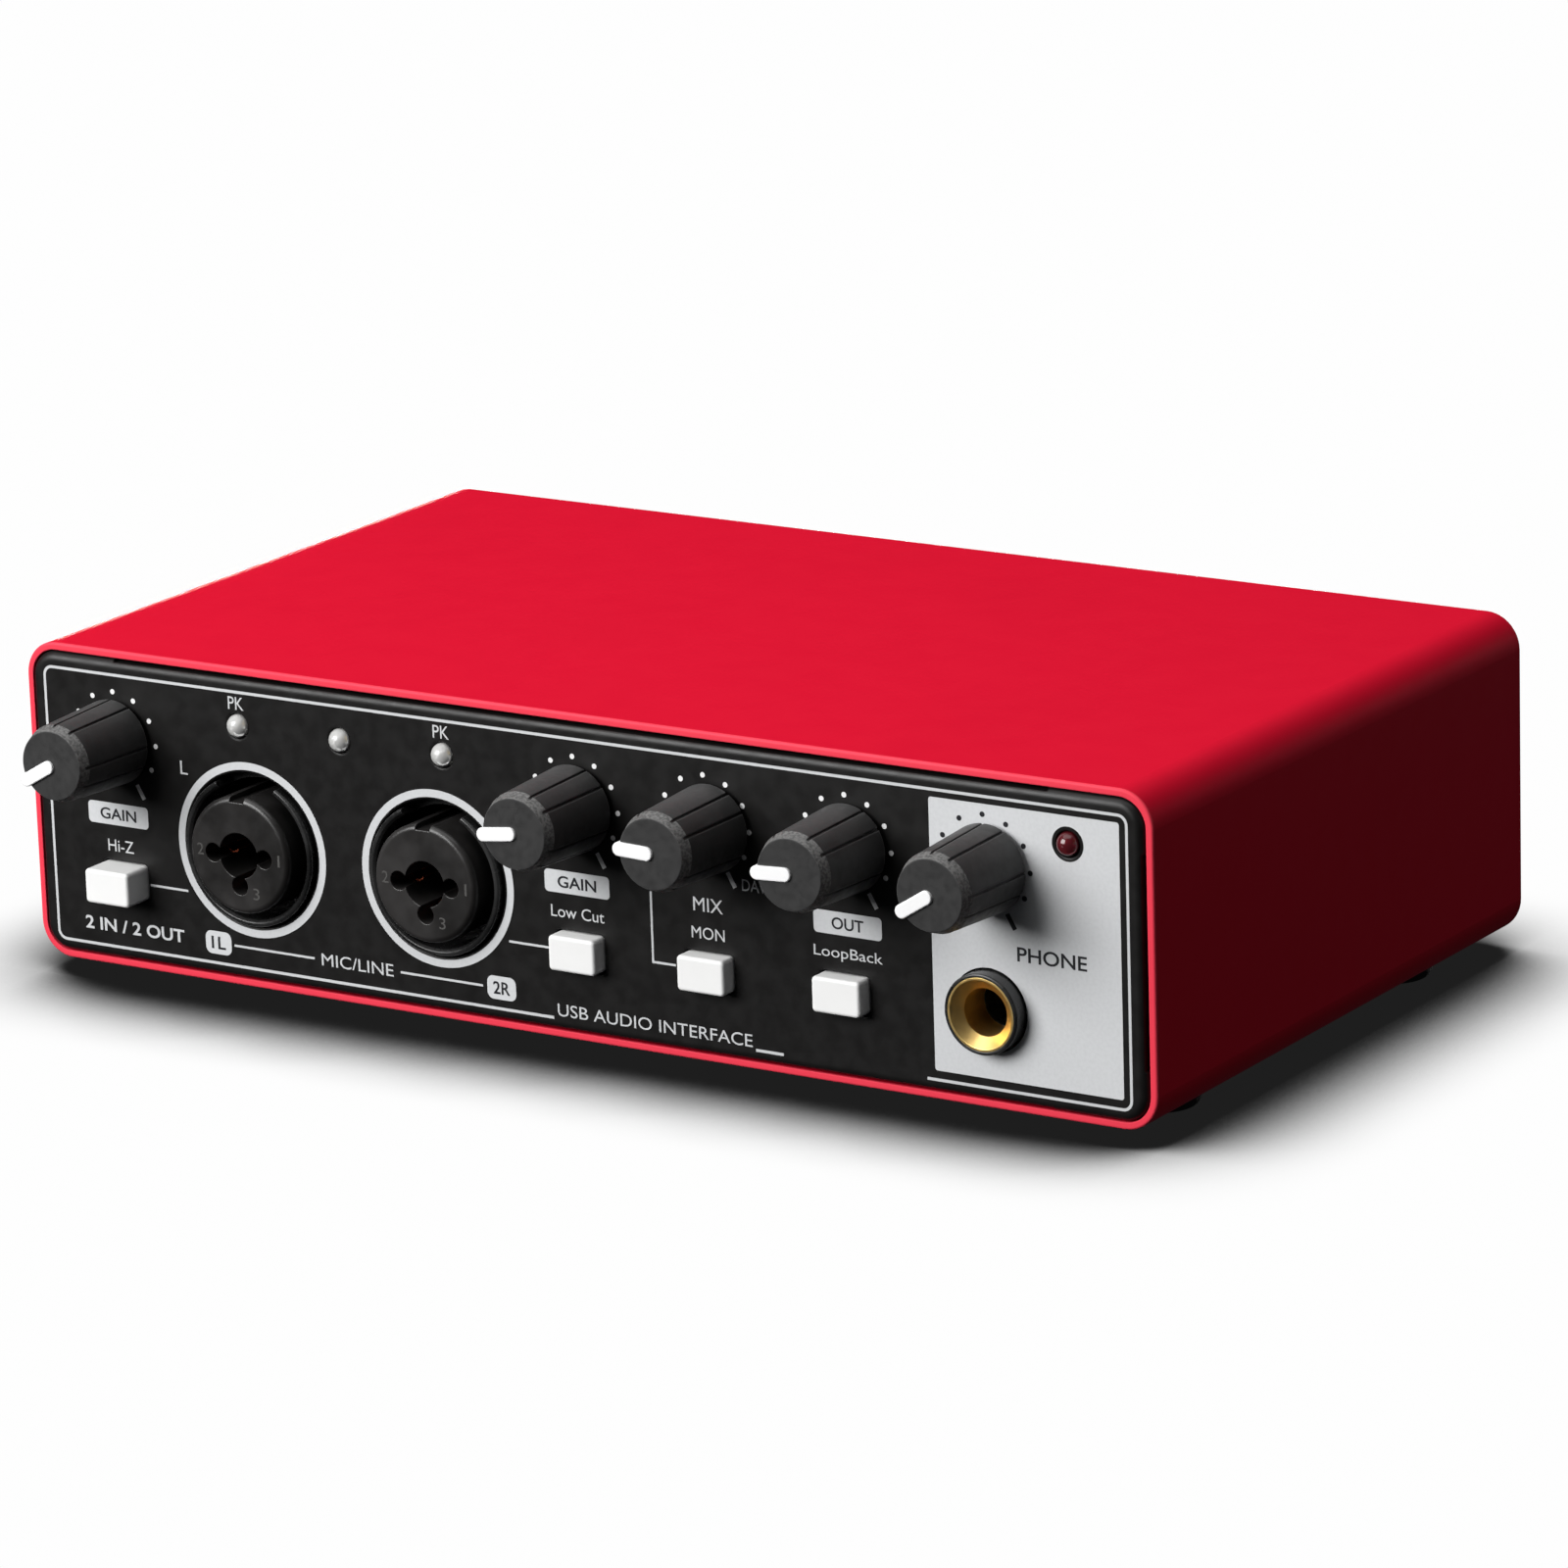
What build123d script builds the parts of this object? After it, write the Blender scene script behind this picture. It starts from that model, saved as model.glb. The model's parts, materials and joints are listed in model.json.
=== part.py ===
from build123d import *
import math
import os

# Desktop audio interface, sizes in millimetres.
# +X is the right-hand side seen from the front, +Y runs to the back and +Z is up.
# Heights named *_z are counted from the underside of the case, which stands on the feet.

os.makedirs("parts", exist_ok=True)

# Case: one sleeve with a moulded front panel and a plate at the back
case_width = 180.0
case_height = 45.5
case_depth = 101.3
case_corner_r = 5.0
case_wall = 1.0
case_edge_r = 0.35

foot_height = 2.5
foot_r = 5.5
foot_edge_r = 1.2
foot_inset_x = 10.5
foot_inset_y = 18.6
foot_gap = 0.02

panel_gap = 0.2
panel_proud = 0.6
panel_thick = 2.6
panel_edge_r = 1.2
panel_relief = 0.4
panel_relief_inset_x = 15.3
panel_relief_inset_z = 8.3
skirt_depth = 9.0
skirt_wall = 1.3

rear_thick = 1.5
rear_inset = 0.6
rear_gap = 0.25

channel_inset = 4.2
channel_root = 0.2
channel_bore_r = 1.5
channel_start_gap = 1.5

rail_reach = 3.0
rail_thick = 1.2
rail_play = 0.15

# Boards
board_thick = 1.6
board_lift = 0.4
board_side_gap = 0.5
board_back_gap = 2.0
front_board_setback = 20.0
front_board_z = 10.6
front_board_height = 31.0
front_board_side = 3.0
post_r = 2.2
post_bore_r = 1.1
post_inset_x = 5.6
post_low_z = 14.0
post_high_z = 39.4
post_gap = 0.1

# Fasteners
screw_shank_r = 1.35
screw_head_r = 2.3
screw_head_thick = 1.5
screw_length = 9.0
screw_slot_r = 1.2
screw_slot_depth = 0.8
small_screw_r = 1.0
small_head_r = 2.0
small_head_thick = 1.2
small_screw_length = 6.0
seat_gap = 0.05

# Knobs
knob_drop = 12.7
knob_lift = 0.5
knob_reach = 14.5
knob_base_r = 6.05
knob_front_r = 5.45
knob_face_r = 4.85
knob_bevel = 1.55
knob_foot_r = 0.25
groove_width = 0.42
groove_depth = 0.34
groove_angles = (-150, -120, -60, -30, 30, 60, 120, 150)
pointer_width = 1.9
pointer_inner = -0.35
pointer_outer = 5.8
pointer_depth = 1.4
pointer_proud = 0.4
pointer_gap = 0.02
shaft_r = 3.0
shaft_flat = 1.5
shaft_gap = 0.03
shaft_cap = 4.0
shaft_run_gap = 0.05
shaft_hole_gap = 0.6
bushing_wall = 0.85
pot_width = 9.6
pot_height = 11.0
pot_depth = 7.0
pot_drop = 0.8
bushing_r = shaft_r + shaft_run_gap + bushing_wall
bushing_length = 4.5
pot_end_wall = 0.5
shaft_end_gap = 0.5

# Each knob: share of the case's width from its middle, and pointer direction in degrees
# clockwise from 12 o'clock
knobs = {
    "input_1_gain": (-0.4151, -120),
    "input_2_gain": (0.0101, -97),
    "mix": (0.1299, -88),
    "output": (0.2482, -93),
    "phones_level": (0.3657, -122),
}

# Push-buttons with latching switches
button_z = 12.8
button_width = 7.4
button_height = 4.9
button_length = 10.2
button_corner_r = 0.6
button_front_r = 0.45
button_gap = 0.3
button_out = 4.6
button_travel = 2.2
plunger_size = 3.0
plunger_in_cap = 5.0
plunger_gap = 0.02
plunger_run_gap = 0.08
plunger_depth = 5.0
plunger_end_gap = 1.0
switch_width = 8.0
switch_height = 8.0
switch_depth = 10.4

# Each button: share of the case's width from its middle, and whether it is latched in
buttons = {
    "instrument": (-0.4122, False),
    "low_cut": (0.0100, True),
    "monitor": (0.1239, True),
    "loopback": (0.2411, True),
}

# Indicator lamps
lamp_r = 1.65
lamp_gap = 0.2
lamp_proud = 1.3
lamp_flange_r = 2.1
lamp_flange_thick = 1.0
lamp_lead = 0.5
lamp_lead_offset = 0.64
lamp_drop = 8.1
lamps = {
    "input_1_peak_lamp": -0.2978,
    "phantom_lamp": -0.2028,
    "input_2_peak_lamp": -0.1089,
    "power_lamp": 0.4322,
}

# Combined microphone and jack sockets
plug_bore_r = 3.25
combo_z = 19.95
combos = {"input_1": -0.2898, "input_2": -0.1176}
insert_r = 8.3
insert_proud = 3.1
insert_edge_r = 0.8
insert_step = 2.1
insert_ring_gap = 1.4
insert_stem_gap = 0.05
insert_end_wall = 1.0
insert_stem_r = insert_r - insert_step
key_width = 2.4
key_depth = 0.8
collar_wall = 0.95
collar_proud = 1.0
collar_lip_r = 0.35
collar_gap = 0.45
collar_notch_half_angle = 28.0
collar_bore_r = insert_r + insert_ring_gap
collar_r = collar_bore_r + collar_wall
combo_hole_r = collar_r + collar_gap
combo_body_wall = 2.3
combo_flange_lip = 0.7
combo_flange_thick = 2.4
combo_corner_r = 2.0
combo_gap = 0.2
combo_groove_depth = 14.0
combo_body = 2 * (collar_bore_r + combo_body_wall)
combo_flange = combo_body + 2 * combo_flange_lip
lobe_r = 1.35
lobe_reach = 1.0
lobe_depth = 13.0
lobe_ring_r = plug_bore_r + lobe_reach
contact_r = 1.25
contact_wall = 0.3
contact_setback = 4.5
contact_length = 7.5
contact_gap = 0.15

# Headphone socket
phones_share = 0.3639
phones_z = 13.5
phones_collar_wall = 0.52
phones_collar_proud = 2.3
phones_body_width = 14.0
phones_body_height = 10.0
phones_hole_gap = 0.2
sleeve_wall = 1.73
sleeve_rim = 0.3
sleeve_mouth_depth = 1.3
sleeve_length = 6.4
sleeve_gap = 0.02
sleeve_r = plug_bore_r + sleeve_wall
sleeve_mouth_r = sleeve_r - sleeve_rim
phones_collar_r = sleeve_r + phones_collar_wall
plug_depth = 19.0
body_corner_r = 1.0

# Back: line outputs, data and supply sockets, phantom supply switch
line_outs = {"line_out_left": 0.345, "line_out_right": 0.228}
line_out_z = 24.0
line_neck_wall = 1.45
line_neck_r = plug_bore_r + line_neck_wall
line_neck_proud = 3.0
line_body = 15.0
line_body_depth = 22.0
line_mouth_depth = 0.8
neck_gap = 0.15
nut_wall = 1.65
nut_thick = 2.0
nut_gap = 0.05
nut_across_flats = 2 * (line_neck_r + nut_wall)
ports = {"data_socket": -0.345, "supply_socket": -0.233}
port_width = 8.94
port_height = 3.26
port_wall = 0.33
port_depth = 8.6
port_gap = 0.4
port_tongue_width = 6.2
port_tongue_thick = 0.7
port_tongue_length = 5.6
port_back_wall = 1.2
phantom_share = 0.028
phantom_back_room = 1.0
phantom_z = 24.0
phantom_size = 5.0
phantom_out = 3.5
phantom_travel = 2.0
phantom_length = 8.5
phantom_gap = 0.25
phantom_switch = 9.0
phantom_switch_depth = 12.0

# Parts on the main board, placed from the board's middle: chips as (x, y, width, length),
# capacitors as (x, y)
part_seat = 0.05
chips = [
    (-58.0, 14.0, 12.0, 12.0),
    (-22.0, -8.0, 9.0, 9.0),
    (16.0, -10.0, 14.0, 10.0),
    (50.0, -14.0, 8.0, 6.0),
]
chip_thick = 1.6
capacitors = [
    (-36.0, 12.0),
    (-8.0, 12.0),
    (-4.0, -4.0),
    (30.0, -8.0),
    (24.0, 12.0),
    (66.0, -10.0),
    (-72.0, -8.0),
]
capacitor_r = 4.0
capacitor_height = 11.5
capacitor_edge_r = 0.5
header_width = 50.8
header_depth = 4.0
header_height = 8.5

# Places worked out from the sizes above, with the whole object centred front to back
front_reach = panel_proud + knob_reach + pointer_proud
rear_reach = max(line_neck_proud, phantom_out) - rear_inset
front_y = front_reach - (front_reach + case_depth + rear_reach) / 2
face_y = front_y - panel_proud
panel_back_y = face_y + panel_thick
rear_face_y = front_y + case_depth - rear_inset
rear_back_y = rear_face_y - rear_thick
front_board_y = face_y + front_board_setback
board_back_y = front_board_y + board_thick
case_mid_z = case_height / 2
channel_r = channel_inset - case_wall + channel_root
channel_start_y = board_back_y + small_head_thick + channel_start_gap
board_z = channel_inset + channel_r + board_lift
board_top_z = board_z + board_thick
knob_z = case_height - knob_drop
phones_x = phones_share * case_width
phantom_x = phantom_share * case_width
knob_columns = {name: share * case_width for name, (share, turn) in knobs.items()}
button_columns = {name: share * case_width for name, (share, latched) in buttons.items()}
lamp_places = {name: (share * case_width, case_height - lamp_drop) for name, share in lamps.items()}
combo_columns = {name: share * case_width for name, share in combos.items()}
line_out_columns = {name: share * case_width for name, share in line_outs.items()}
port_columns = {name: share * case_width for name, share in ports.items()}
panel_width = case_width - 2 * (case_wall + panel_gap)
panel_height = case_height - 2 * (case_wall + panel_gap)
panel_corner_r = case_corner_r - case_wall - panel_gap
channel_x = case_width / 2 - channel_inset
post_x = case_width / 2 - post_inset_x


def facing_front(y):
    """Plane across the case that faces the front; local X and Y are the case's X and height."""
    return Plane(origin=(0, y, foot_height), x_dir=(1, 0, 0), z_dir=(0, -1, 0))


def along_axis(x, y, z, angle=90):
    """Plane through a front-to-back axis: local X is the radius at a clock angle, local Y runs back."""
    turn = math.radians(angle)
    outward = (math.sin(turn), 0, math.cos(turn))
    return Plane(origin=(x, y, foot_height + z), x_dir=outward, z_dir=(-outward[2], 0, outward[0]))


def level(z):
    """Horizontal plane at a height above the underside of the case."""
    return Plane.XY.offset(foot_height + z)


def axis_back(x, z):
    """Front-to-back axis at a place on the panel."""
    return Axis((x, 0, foot_height + z), (0, 1, 0))


def save(piece, name):
    """Labels a finished piece and writes it."""
    piece.part.label = name
    export_step(piece.part, f"parts/{name}.step")


# Sleeve of the case, with screw channels in its corners and rails for the main board
inner_width = case_width - 2 * case_wall
inner_height = case_height - 2 * case_wall
channel_places = [
    (side * channel_x, z) for side in (-1, 1) for z in (channel_inset, case_height - channel_inset)
]
channel_length = rear_back_y - seat_gap - channel_start_y
with BuildPart() as shell:
    with BuildSketch(facing_front(front_y)):
        with Locations((0, case_mid_z)):
            RectangleRounded(case_width, case_height, case_corner_r)
            RectangleRounded(inner_width, inner_height, case_corner_r - case_wall, mode=Mode.SUBTRACT)
    extrude(amount=-case_depth)
    outer_rim = shell.faces().sort_by(Axis.Y)[0].outer_wire().edges()
    fillet(outer_rim, radius=case_edge_r)
    back_rim = shell.faces().filter_by(Axis.Y).sort_by(Axis.Y)[-1].outer_wire().edges()
    fillet(back_rim, radius=case_edge_r)
    with BuildSketch(facing_front(channel_start_y)):
        with Locations(*channel_places):
            Circle(channel_r)
        for side in (-1, 1):
            wall_x = side * (inner_width - rail_reach) / 2
            with Locations(
                (wall_x, board_z - rail_play - rail_thick / 2),
                (wall_x, board_top_z + rail_play + rail_thick / 2),
            ):
                Rectangle(rail_reach, rail_thick)
    extrude(amount=-channel_length)
    with BuildSketch(facing_front(channel_start_y)):
        with Locations(*channel_places):
            Circle(channel_bore_r)
    extrude(amount=-channel_length, mode=Mode.SUBTRACT)
save(shell, "shell")

# Rubber feet
foot_places = [
    (side * (case_width / 2 - foot_inset_x), y)
    for side in (-1, 1)
    for y in (front_y + foot_inset_y, front_y + case_depth - foot_inset_y)
]
with BuildPart() as feet:
    with BuildSketch(Plane.XY):
        with Locations(*foot_places):
            Circle(foot_r)
    extrude(amount=foot_height - foot_gap)
    fillet(feet.edges().filter_by(GeomType.CIRCLE).group_by(Axis.Z)[0], radius=foot_edge_r)
save(feet, "feet")

# Front panel: a moulded plate with a skirt inside the sleeve and posts for the front board
post_places = [(side * post_x, z) for side in (-1, 1) for z in (post_low_z, post_high_z)]
post_length = front_board_y - panel_back_y - post_gap
relief_width = case_width - 2 * panel_relief_inset_x
relief_height = case_height - 2 * panel_relief_inset_z
with BuildPart() as front_panel:
    with BuildSketch(facing_front(face_y)):
        with Locations((0, case_mid_z)):
            RectangleRounded(panel_width, panel_height, panel_corner_r)
    extrude(amount=-panel_thick)
    front_edges = front_panel.faces().sort_by(Axis.Y)[0].outer_wire().edges()
    fillet(front_edges, radius=panel_edge_r)
    with BuildSketch(facing_front(panel_back_y)):
        with Locations((0, case_mid_z)):
            RectangleRounded(panel_width, panel_height, panel_corner_r)
            RectangleRounded(
                panel_width - 2 * skirt_wall,
                panel_height - 2 * skirt_wall,
                panel_corner_r - skirt_wall,
                mode=Mode.SUBTRACT,
            )
    extrude(amount=-skirt_depth)
    with BuildSketch(facing_front(panel_back_y)):
        with Locations(*post_places):
            Circle(post_r)
    extrude(amount=-post_length)
    with BuildSketch(facing_front(front_board_y - post_gap)):
        with Locations(*post_places):
            Circle(post_bore_r)
    extrude(amount=small_screw_length, mode=Mode.SUBTRACT)
    with BuildSketch(facing_front(face_y)):
        with Locations((0, case_mid_z)):
            with Locations((0, panel_height / 2), (0, -panel_height / 2)):
                Rectangle(relief_width, 2 * panel_relief)
            with Locations((panel_width / 2, 0), (-panel_width / 2, 0)):
                Rectangle(2 * panel_relief, relief_height)
    extrude(amount=-(panel_thick + skirt_depth), mode=Mode.SUBTRACT)
    with BuildSketch(facing_front(face_y)):
        for x in knob_columns.values():
            with Locations((x, knob_z)):
                Circle(shaft_r + shaft_hole_gap)
        for x in button_columns.values():
            with Locations((x, button_z)):
                RectangleRounded(
                    button_width + 2 * button_gap,
                    button_height + 2 * button_gap,
                    button_corner_r + button_gap,
                )
        with Locations(*lamp_places.values()):
            Circle(lamp_r + lamp_gap)
        for x in combo_columns.values():
            with Locations((x, combo_z)):
                Circle(combo_hole_r)
        with Locations((phones_x, phones_z)):
            Circle(phones_collar_r + phones_hole_gap)
    extrude(amount=-panel_thick, mode=Mode.SUBTRACT)
save(front_panel, "front_panel")


# Knobs, their pointers and the shafts that carry them
knob_front_y = face_y - knob_reach
knob_back_y = face_y - knob_lift
pot_front_y = front_board_y - seat_gap - pot_depth


def pointer_outline(x, turn, gap):
    """Bar with round ends along the pointer's direction, drawn in the open sketch."""
    middle = (pointer_inner + pointer_outer) / 2
    clock = math.radians(turn)
    with Locations((x + middle * math.sin(clock), knob_z + middle * math.cos(clock))):
        SlotOverall(
            pointer_outer - pointer_inner + 2 * gap,
            pointer_width + 2 * gap,
            rotation=90 - turn,
        )


def shaft_outline(x, turn, gap):
    """Round shaft with a flat on the pointer's far side, drawn in the open sketch."""
    clock = math.radians(turn)
    offset = shaft_flat + gap + shaft_r
    with Locations((x, knob_z)):
        Circle(shaft_r + gap)
    with Locations((x - offset * math.sin(clock), knob_z - offset * math.cos(clock))):
        Rectangle(2 * shaft_r, 4 * shaft_r, rotation=90 - turn, mode=Mode.SUBTRACT)


def make_knob(name, x, turn):
    """Tapered knob with paired grooves, its inlaid pointer and its shaft."""
    knob_length = knob_back_y - knob_front_y
    with BuildPart() as knob:
        with BuildSketch(along_axis(x, knob_front_y, knob_z)):
            with BuildLine():
                Polyline(
                    (0, 0),
                    (knob_face_r, 0),
                    (knob_front_r, knob_bevel),
                    (knob_base_r, knob_length - knob_foot_r),
                    (knob_base_r - knob_foot_r, knob_length),
                    (0, knob_length),
                    close=True,
                )
            make_face()
        revolve(axis=axis_back(x, knob_z))
        for groove in groove_angles:
            with BuildSketch(along_axis(x, knob_front_y, knob_z, turn + groove)):
                with BuildLine():
                    Polyline(
                        (knob_front_r - groove_depth, -knob_bevel),
                        (2 * knob_base_r, -knob_bevel),
                        (2 * knob_base_r, knob_length + knob_foot_r),
                        (knob_base_r - groove_depth, knob_length + knob_foot_r),
                        close=True,
                    )
                make_face()
            extrude(amount=groove_width / 2, both=True, mode=Mode.SUBTRACT)
        with BuildSketch(facing_front(knob_front_y)):
            pointer_outline(x, turn, pointer_gap)
        extrude(amount=-(pointer_depth + pointer_gap), mode=Mode.SUBTRACT)
        with BuildSketch(facing_front(knob_back_y)):
            shaft_outline(x, turn, shaft_gap)
        extrude(amount=knob_length - shaft_cap, mode=Mode.SUBTRACT)
    save(knob, f"{name}_knob")

    with BuildPart() as pointer:
        with BuildSketch(facing_front(knob_front_y - pointer_proud)):
            pointer_outline(x, turn, 0)
        extrude(amount=-(pointer_depth + pointer_proud))
        front = pointer.faces().sort_by(Axis.Y)[0]
        fillet(front.edges(), radius=pointer_proud / 2)
    save(pointer, f"{name}_pointer")

    with BuildPart() as shaft:
        with BuildSketch(facing_front(knob_front_y + shaft_cap + seat_gap)):
            shaft_outline(x, turn, 0)
        extrude(amount=-(knob_length - shaft_cap - seat_gap))
        with BuildSketch(facing_front(knob_back_y)):
            with Locations((x, knob_z)):
                Circle(shaft_r)
        extrude(amount=-(pot_front_y + pot_depth - pot_end_wall - shaft_end_gap - knob_back_y))
    save(shaft, f"{name}_shaft")


for name, (share, turn) in knobs.items():
    make_knob(name, knob_columns[name], turn)

knob_places = [(x, knob_z) for x in knob_columns.values()]
pot_places = [(x, z - pot_drop) for x, z in knob_places]
with BuildPart() as potentiometers:
    with BuildSketch(facing_front(pot_front_y)):
        with Locations(*pot_places):
            Rectangle(pot_width, pot_height)
    extrude(amount=-pot_depth)
    with BuildSketch(facing_front(pot_front_y)):
        with Locations(*knob_places):
            Circle(bushing_r)
    extrude(amount=bushing_length)
    with BuildSketch(facing_front(pot_front_y - bushing_length)):
        with Locations(*knob_places):
            Circle(shaft_r + shaft_run_gap)
    extrude(amount=-(bushing_length + pot_depth - pot_end_wall), mode=Mode.SUBTRACT)
save(potentiometers, "potentiometers")


# Push-buttons: a cap on the plunger of a latching switch
switch_front_y = front_board_y - seat_gap - switch_depth


def make_button(name, x, latched):
    """Cap and plunger of one push-button, at its out or latched-in place."""
    pushed = button_travel if latched else 0
    cap_front_y = face_y - button_out + pushed
    cap_back_y = cap_front_y + button_length
    plunger_end_y = switch_front_y + plunger_depth + pushed
    with BuildPart() as cap:
        with BuildSketch(facing_front(cap_front_y)):
            with Locations((x, button_z)):
                RectangleRounded(button_width, button_height, button_corner_r)
        extrude(amount=-button_length)
        fillet(cap.faces().sort_by(Axis.Y)[0].edges(), radius=button_front_r)
        with BuildSketch(facing_front(cap_back_y)):
            with Locations((x, button_z)):
                Rectangle(plunger_size + 2 * plunger_gap, plunger_size + 2 * plunger_gap)
        extrude(amount=plunger_in_cap + plunger_gap, mode=Mode.SUBTRACT)
    save(cap, f"{name}_button")
    with BuildPart() as plunger:
        with BuildSketch(facing_front(cap_back_y - plunger_in_cap)):
            with Locations((x, button_z)):
                Rectangle(plunger_size, plunger_size)
        extrude(amount=-(plunger_end_y - cap_back_y + plunger_in_cap))
    save(plunger, f"{name}_plunger")


for name, (share, latched) in buttons.items():
    make_button(name, button_columns[name], latched)

button_places = [(x, button_z) for x in button_columns.values()]
plunger_room = plunger_depth + button_travel + plunger_end_gap
with BuildPart() as switches:
    with BuildSketch(facing_front(switch_front_y)):
        with Locations(*button_places):
            Rectangle(switch_width, switch_height)
    extrude(amount=-switch_depth)
    with BuildSketch(facing_front(switch_front_y)):
        with Locations(*button_places):
            Rectangle(plunger_size + 2 * plunger_run_gap, plunger_size + 2 * plunger_run_gap)
    extrude(amount=-plunger_room, mode=Mode.SUBTRACT)
save(switches, "button_switches")

# Indicator lamps and their leads
lamp_flange_y = panel_back_y + seat_gap
for name, (x, z) in lamp_places.items():
    with BuildPart() as lamp:
        with BuildSketch(along_axis(x, face_y - lamp_proud, z)):
            with BuildLine():
                flange_start = lamp_flange_y - face_y + lamp_proud
                flange_end = flange_start + lamp_flange_thick
                CenterArc((0, lamp_r), lamp_r, -90, 90)
                Polyline(
                    (lamp_r, lamp_r),
                    (lamp_r, flange_start),
                    (lamp_flange_r, flange_start),
                    (lamp_flange_r, flange_end),
                    (0, flange_end),
                    (0, 0),
                )
            make_face()
        revolve(axis=axis_back(x, z))
    save(lamp, name)

lead_start_y = lamp_flange_y + lamp_flange_thick + seat_gap
with BuildPart() as lamp_leads:
    with BuildSketch(facing_front(lead_start_y)):
        for x, z in lamp_places.values():
            with Locations((x - lamp_lead_offset, z), (x + lamp_lead_offset, z)):
                Rectangle(lamp_lead, lamp_lead)
    extrude(amount=-(front_board_y - seat_gap - lead_start_y))
save(lamp_leads, "lamp_leads")


# Combined microphone and jack sockets
collar_front_y = face_y - collar_proud
insert_front_y = face_y - insert_proud
groove_floor_y = collar_front_y + combo_groove_depth
combo_back_y = front_board_y - seat_gap
lobe_angles = (90, 180, 270)


def lobe_places(x):
    """Centres of the three contact lobes round a socket: right, bottom and left."""
    return [
        (
            x + lobe_ring_r * math.sin(math.radians(angle)),
            combo_z + lobe_ring_r * math.cos(math.radians(angle)),
        )
        for angle in lobe_angles
    ]


def make_combo(name, x):
    """Housing with its collar, keyed insert with the plug bore, and the contacts of one socket."""
    with BuildPart() as housing:
        with BuildSketch(facing_front(collar_front_y)):
            with Locations((x, combo_z)):
                Circle(collar_r)
        extrude(amount=-(panel_back_y + combo_gap - collar_front_y))
        fillet(housing.faces().sort_by(Axis.Y)[0].edges(), radius=collar_lip_r)
        with BuildSketch(facing_front(panel_back_y + combo_gap)):
            with Locations((x, combo_z)):
                RectangleRounded(combo_flange, combo_flange, combo_corner_r)
        extrude(amount=-combo_flange_thick)
        with BuildSketch(facing_front(panel_back_y + combo_gap + combo_flange_thick)):
            with Locations((x, combo_z)):
                RectangleRounded(combo_body, combo_body, combo_corner_r)
        extrude(amount=-(combo_back_y - panel_back_y - combo_gap - combo_flange_thick))
        with BuildSketch(facing_front(collar_front_y)):
            with Locations((x, combo_z)):
                Circle(collar_bore_r)
        extrude(amount=-combo_groove_depth, mode=Mode.SUBTRACT)
        mouth = housing.edges().filter_by(GeomType.CIRCLE).group_by(Axis.Y)[0].sort_by(SortBy.RADIUS)[0]
        chamfer(mouth, length=collar_lip_r)
        with BuildSketch(facing_front(groove_floor_y)):
            with Locations((x, combo_z)):
                Circle(insert_stem_r + insert_stem_gap)
        extrude(amount=-(combo_back_y - groove_floor_y), mode=Mode.SUBTRACT)
        with BuildSketch(facing_front(collar_front_y)):
            with BuildLine():
                reach = 2 * collar_r
                half = math.radians(collar_notch_half_angle)
                Polyline(
                    (x, combo_z),
                    (x + reach * math.sin(half), combo_z + reach * math.cos(half)),
                    (x - reach * math.sin(half), combo_z + reach * math.cos(half)),
                    close=True,
                )
            make_face()
        extrude(amount=-(panel_back_y + combo_gap - collar_front_y), mode=Mode.SUBTRACT)
    save(housing, f"{name}_socket_housing")

    with BuildPart() as insert:
        with BuildSketch(facing_front(insert_front_y)):
            with Locations((x, combo_z)):
                Circle(insert_r)
        extrude(amount=-(groove_floor_y - seat_gap - insert_front_y))
        fillet(insert.faces().sort_by(Axis.Y)[0].edges(), radius=insert_edge_r)
        with BuildSketch(facing_front(groove_floor_y - seat_gap)):
            with Locations((x, combo_z)):
                Circle(insert_stem_r)
        extrude(amount=-(combo_back_y - groove_floor_y + seat_gap))
        with BuildSketch(facing_front(insert_front_y)):
            with Locations((x, combo_z)):
                Circle(plug_bore_r)
        extrude(amount=-(combo_back_y - insert_end_wall - insert_front_y), mode=Mode.SUBTRACT)
        with BuildSketch(facing_front(insert_front_y)):
            with Locations(*lobe_places(x)):
                Circle(lobe_r)
        extrude(amount=-lobe_depth, mode=Mode.SUBTRACT)
        with BuildSketch(facing_front(insert_front_y)):
            with Locations((x, combo_z + insert_r)):
                Rectangle(key_width, 2 * key_depth)
        extrude(amount=-(groove_floor_y - insert_front_y), mode=Mode.SUBTRACT)
    save(insert, f"{name}_socket_insert")

    with BuildPart() as contacts:
        with BuildSketch(facing_front(insert_front_y + contact_setback)):
            with Locations(*lobe_places(x)):
                Circle(contact_r)
                Circle(contact_r - contact_wall, mode=Mode.SUBTRACT)
            clear_width = 2 * (plug_bore_r + contact_gap)
            with Locations((x, combo_z)):
                Rectangle(clear_width, clear_width, mode=Mode.SUBTRACT)
        extrude(amount=-contact_length)
    save(contacts, f"{name}_contacts")


for name, x in combo_columns.items():
    make_combo(name, x)

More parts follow.
